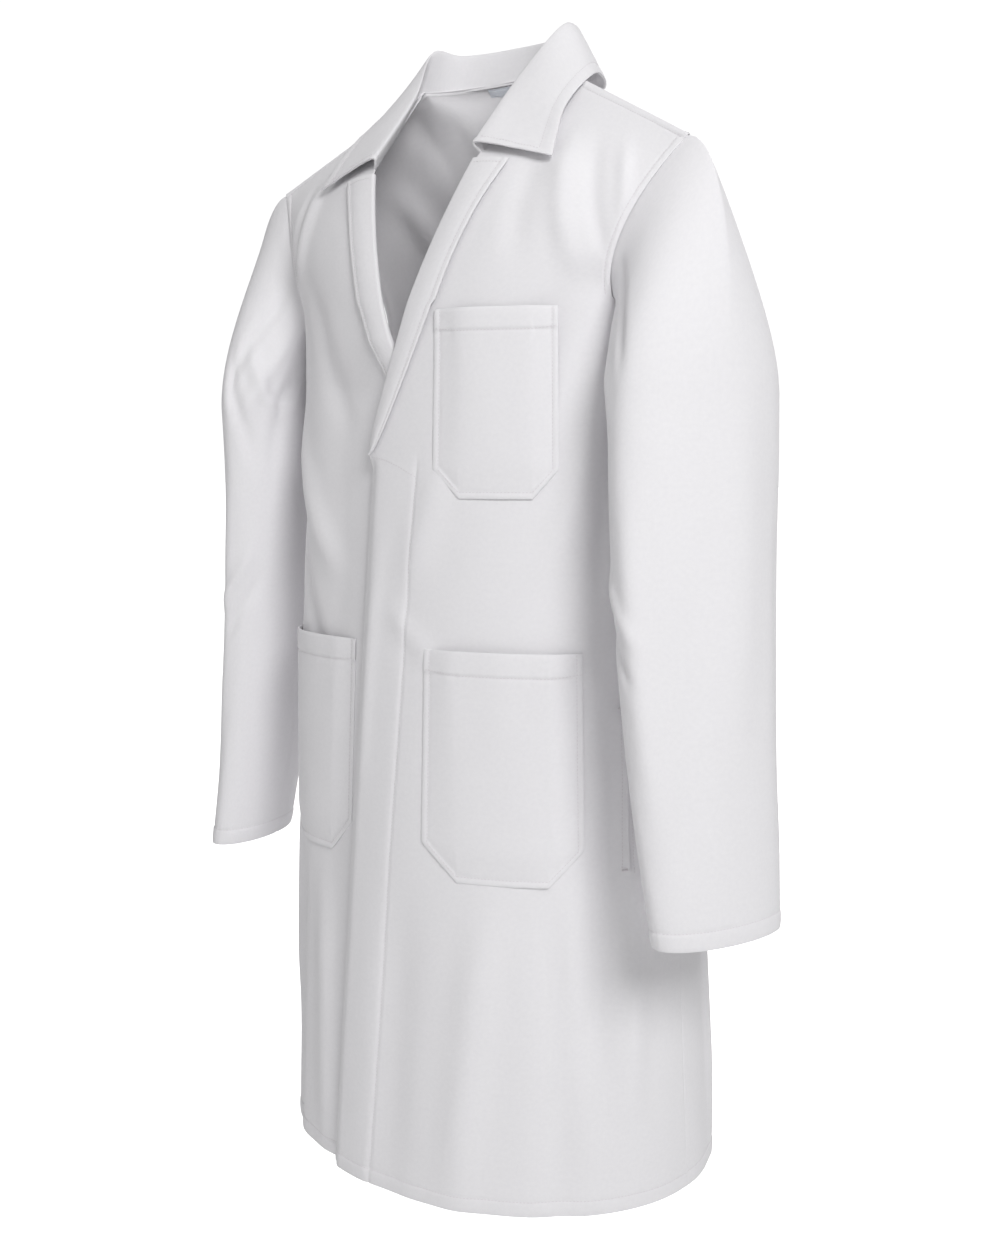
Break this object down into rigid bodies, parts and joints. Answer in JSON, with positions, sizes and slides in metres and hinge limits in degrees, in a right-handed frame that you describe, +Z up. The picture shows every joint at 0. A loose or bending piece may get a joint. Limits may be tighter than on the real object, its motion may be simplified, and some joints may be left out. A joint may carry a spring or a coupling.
{
  "type": "lab coat",
  "caption": "Knee-length lab coat with notched collar, patch pockets, long set-in sleeves and a concealed front fastening of press studs.",
  "frame": {"origin": "the nape: the middle of the back neck seam, where the coat hangs on the wearer or its hook", "axes": "+X towards the wearer's left, -Y towards the wearer's front, +Z up"},
  "size_m": [0.6682, 0.3739, 1.1008],
  "materials": {
    "coat_cloth": "smooth pressed white twill",
    "thread": "dense white bar tack stitching",
    "label_tape": "woven satin tape",
    "stud_plastic": "moulded white press stud"
  },
  "bodies": {
    "torso": {"left_back": "coat_cloth", "right_back": "coat_cloth", "left_back_chest": "coat_cloth", "right_back_chest": "coat_cloth", "left_front_chest": "coat_cloth", "right_front_chest": "coat_cloth", "left_front_side": "coat_cloth", "right_front_side": "coat_cloth", "top_collar": "coat_cloth", "under_collar": "coat_cloth", "neck_label": "label_tape", "hanging_loop": "coat_cloth", "left_upper_bar_tack": "thread", "left_lower_bar_tack": "thread", "right_upper_bar_tack": "thread", "right_lower_bar_tack": "thread"},
    "left_panel": {"left_front": "coat_cloth", "left_lapel": "coat_cloth", "fly_placket": "coat_cloth", "chest_pocket": "coat_cloth", "left_lower_pocket": "coat_cloth", "stud_cap_1": "stud_plastic", "stud_cap_2": "stud_plastic", "stud_cap_3": "stud_plastic", "stud_cap_4": "stud_plastic", "stud_cap_5": "stud_plastic", "stud_socket_1": "stud_plastic", "stud_socket_2": "stud_plastic", "stud_socket_3": "stud_plastic", "stud_socket_4": "stud_plastic", "stud_socket_5": "stud_plastic"},
    "right_panel": {"right_front": "coat_cloth", "right_lapel": "coat_cloth", "right_facing": "coat_cloth", "right_lower_pocket": "coat_cloth", "stud_ball_1": "stud_plastic", "stud_ball_2": "stud_plastic", "stud_ball_3": "stud_plastic", "stud_ball_4": "stud_plastic", "stud_ball_5": "stud_plastic", "stud_post_1": "stud_plastic", "stud_post_2": "stud_plastic", "stud_post_3": "stud_plastic", "stud_post_4": "stud_plastic", "stud_post_5": "stud_plastic"},
    "left_arm": {"left_sleeve": "coat_cloth"},
    "right_arm": {"right_sleeve": "coat_cloth"}
  },
  "joints": [
    {"name": "left_front_open", "type": "hinge", "parent": "torso", "child": "left_panel", "pos_m": [0.20612, -0.12947, -1.068], "axis": [-0.027, -0.0037, 0.9996], "range_deg": [0, 50]},
    {"name": "right_front_open", "type": "hinge", "parent": "torso", "child": "right_panel", "pos_m": [-0.20612, -0.12947, -1.068], "axis": [-0.027, 0.0037, -0.9996], "range_deg": [0, 26]},
    {"name": "left_sleeve_raise", "type": "hinge", "parent": "torso", "child": "left_arm", "pos_m": [0.246, -0.1, -0.101], "axis": [0, -1, 0], "range_deg": [0, 60]},
    {"name": "right_sleeve_raise", "type": "hinge", "parent": "torso", "child": "right_arm", "pos_m": [-0.246, -0.1, -0.101], "axis": [0, 1, 0], "range_deg": [0, 60]}
  ],
  "couplings": [
    {"joint": "right_front_open", "follows": "left_front_open", "ratio": 0.5}
  ]
}
